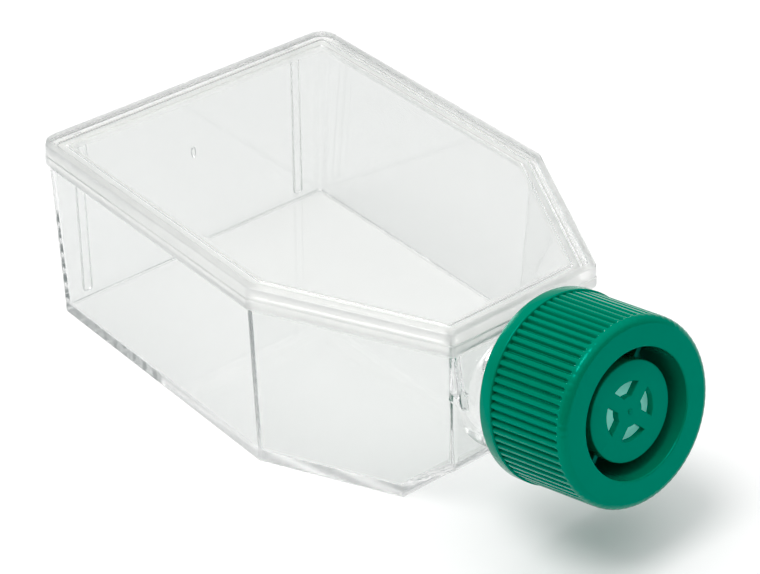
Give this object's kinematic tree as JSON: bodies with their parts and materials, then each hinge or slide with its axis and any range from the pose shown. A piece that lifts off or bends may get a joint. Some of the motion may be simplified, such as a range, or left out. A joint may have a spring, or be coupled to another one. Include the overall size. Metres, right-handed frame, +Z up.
{
  "type": "cell culture flask",
  "caption": "Clear rectangular cell culture flask lying on its growth floor, with tapered shoulders, a canted neck and a ribbed screw cap with a vent filter.",
  "frame": {"origin": "centre of the bounding box's bottom, on the surface that the growth floor rests on", "axes": "+X along the flask towards the cap, +Y across, +Z up"},
  "size_m": [0.092, 0.0492, 0.0331],
  "materials": {
    "clear_polystyrene": "clear, polished",
    "green_polypropylene": "satin gloss",
    "filter_membrane": "matt white"
  },
  "bodies": {
    "flask": {"flask_body": "clear_polystyrene", "top_plate": "clear_polystyrene"},
    "filter": {"filter_membrane": "filter_membrane"},
    "cap": {"cap_shell": "green_polypropylene"}
  },
  "joints": [
    {"name": "cap_rise", "type": "slide", "parent": "flask", "child": "filter", "axis": [0.9703, 0, 0.2419], "range_m": [0, 0.014]},
    {"name": "cap_turn", "type": "hinge", "parent": "filter", "child": "cap", "pos_m": [0.02945, 0, 0.0183], "axis": [0.9703, 0, 0.2419], "range_deg": [0, 1260]}
  ],
  "couplings": [
    {"joint": "cap_rise", "follows": "cap_turn", "m_per_rad": 0.00063662}
  ]
}
